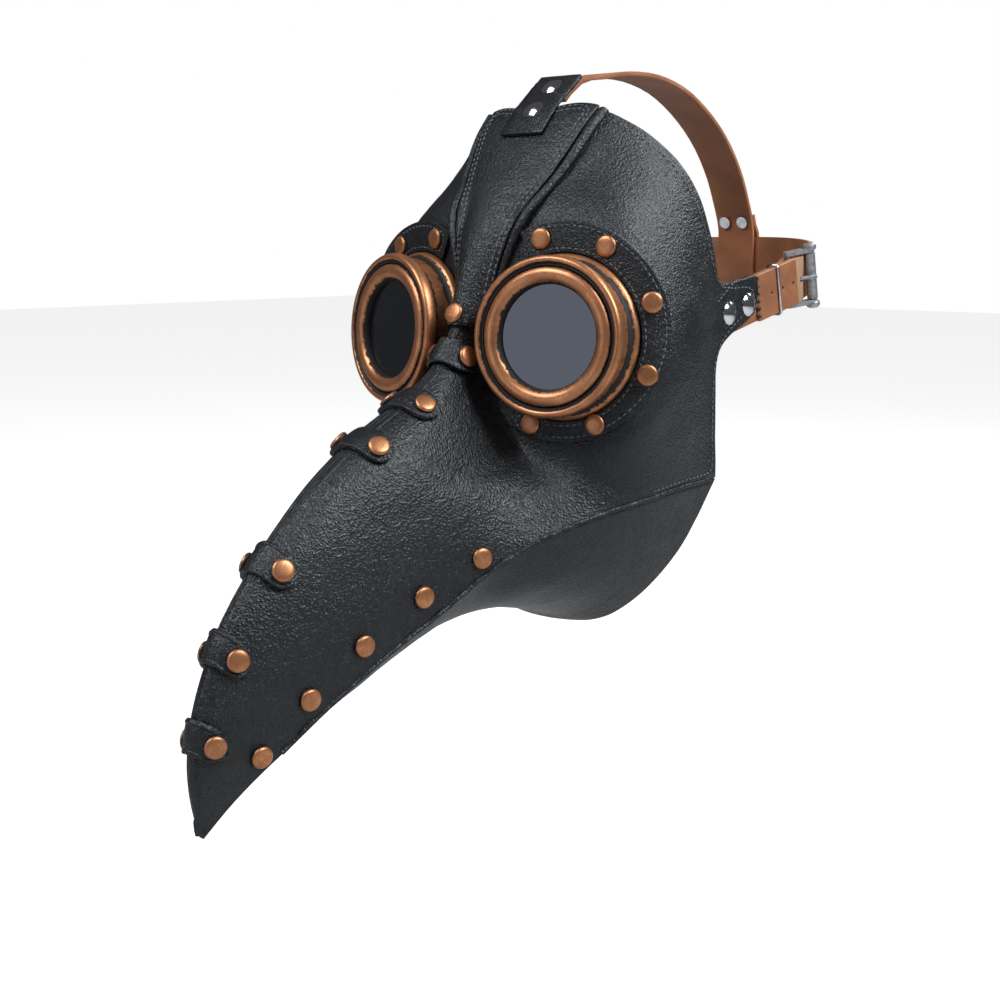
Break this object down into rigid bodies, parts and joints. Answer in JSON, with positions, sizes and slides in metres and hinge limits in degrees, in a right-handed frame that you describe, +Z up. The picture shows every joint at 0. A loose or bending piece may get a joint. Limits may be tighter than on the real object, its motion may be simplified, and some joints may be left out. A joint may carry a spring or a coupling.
{
  "type": "plague doctor mask",
  "caption": "Moulded leather plague doctor mask with a drooping beak, riveted goggles with dark lenses, studded straps across the beak, and a buckled head harness with a crown strap.",
  "frame": {"origin": "the head seat: on the midline, level with the middles of the lenses, between the temple tabs, where the middle of the wearer's face plane lies", "axes": "+X to the wearer's left, -Y the way the mask looks, +Z up"},
  "size_m": [0.1926, 0.4277, 0.3407],
  "materials": {
    "shell_leather": "black moulded leather, pebbly grain, satin",
    "copper": "antique copper, worn, dark in the grooves",
    "lens_glass": "dark tinted, polished",
    "gasket_rubber": "black, matt",
    "clamp_metal": "plain turned",
    "strap_leather": "tan vegetable-tanned leather, smooth, raw edges",
    "chrome": "bright plated",
    "buckle_steel": "dull grey plated steel"
  },
  "bodies": {
    "shell": {"side_panel_left": "shell_leather", "side_panel_right": "shell_leather", "underside_panel": "shell_leather", "forehead_panel": "shell_leather", "forehead_trim_left": "shell_leather", "forehead_trim_right": "shell_leather", "eye_flange_left": "shell_leather", "eye_flange_right": "shell_leather", "bridge_strap": "shell_leather", "beak_strap_1": "shell_leather", "beak_strap_2": "shell_leather", "beak_strap_3": "shell_leather", "beak_strap_4": "shell_leather", "beak_strap_5": "shell_leather", "goggle_cup_left": "copper", "goggle_cup_right": "copper", "bezel_ring_left": "copper", "bezel_ring_right": "copper", "lens_gasket_left": "gasket_rubber", "lens_gasket_right": "gasket_rubber", "lens_left": "lens_glass", "lens_right": "lens_glass", "clamp_ring_left": "clamp_metal", "clamp_ring_right": "clamp_metal", "flange_studs_left": "copper", "flange_studs_right": "copper", "beak_strap_studs": "copper", "beak_edge_studs_left": "copper", "beak_edge_studs_right": "copper", "brow_stud": "copper", "crown_tab": "shell_leather", "crown_rivets": "chrome", "crown_strap": "strap_leather", "loop_rivets": "chrome", "temple_rivets_left": "chrome", "temple_rivets_right": "chrome", "side_strap_left": "strap_leather", "side_strap_right": "strap_leather", "buckle_frame_left": "buckle_steel", "buckle_frame_right": "buckle_steel", "back_strap": "strap_leather"},
    "left_prong": {"buckle_prong_left": "buckle_steel"},
    "left_roller": {"buckle_roller_left": "buckle_steel"},
    "left_keeper": {"strap_keeper_left": "chrome"},
    "right_prong": {"buckle_prong_right": "buckle_steel"},
    "right_roller": {"buckle_roller_right": "buckle_steel"},
    "right_keeper": {"strap_keeper_right": "chrome"}
  },
  "joints": [
    {"name": "left_prong_swing", "type": "hinge", "parent": "shell", "child": "left_prong", "pos_m": [0.0747, 0.08692, 0.02307], "axis": [0, 0.2079, -0.9781], "range_deg": [0, 14]},
    {"name": "left_roller_spin", "type": "hinge", "parent": "shell", "child": "left_roller", "pos_m": [0.0818, 0.09816, 0.02546], "axis": [0, 0.2079, -0.9781], "continuous": true},
    {"name": "left_keeper_slide", "type": "slide", "parent": "shell", "child": "left_keeper", "axis": [0, 0.9781, 0.2079], "range_m": [-0.015, 0.006]},
    {"name": "right_prong_swing", "type": "hinge", "parent": "shell", "child": "right_prong", "pos_m": [-0.0747, 0.08692, 0.02307], "axis": [0, -0.2079, 0.9781], "range_deg": [0, 14]},
    {"name": "right_roller_spin", "type": "hinge", "parent": "shell", "child": "right_roller", "pos_m": [-0.0818, 0.09816, 0.02546], "axis": [0, -0.2079, 0.9781], "continuous": true},
    {"name": "right_keeper_slide", "type": "slide", "parent": "shell", "child": "right_keeper", "axis": [0, 0.9781, 0.2079], "range_m": [-0.015, 0.006]}
  ]
}
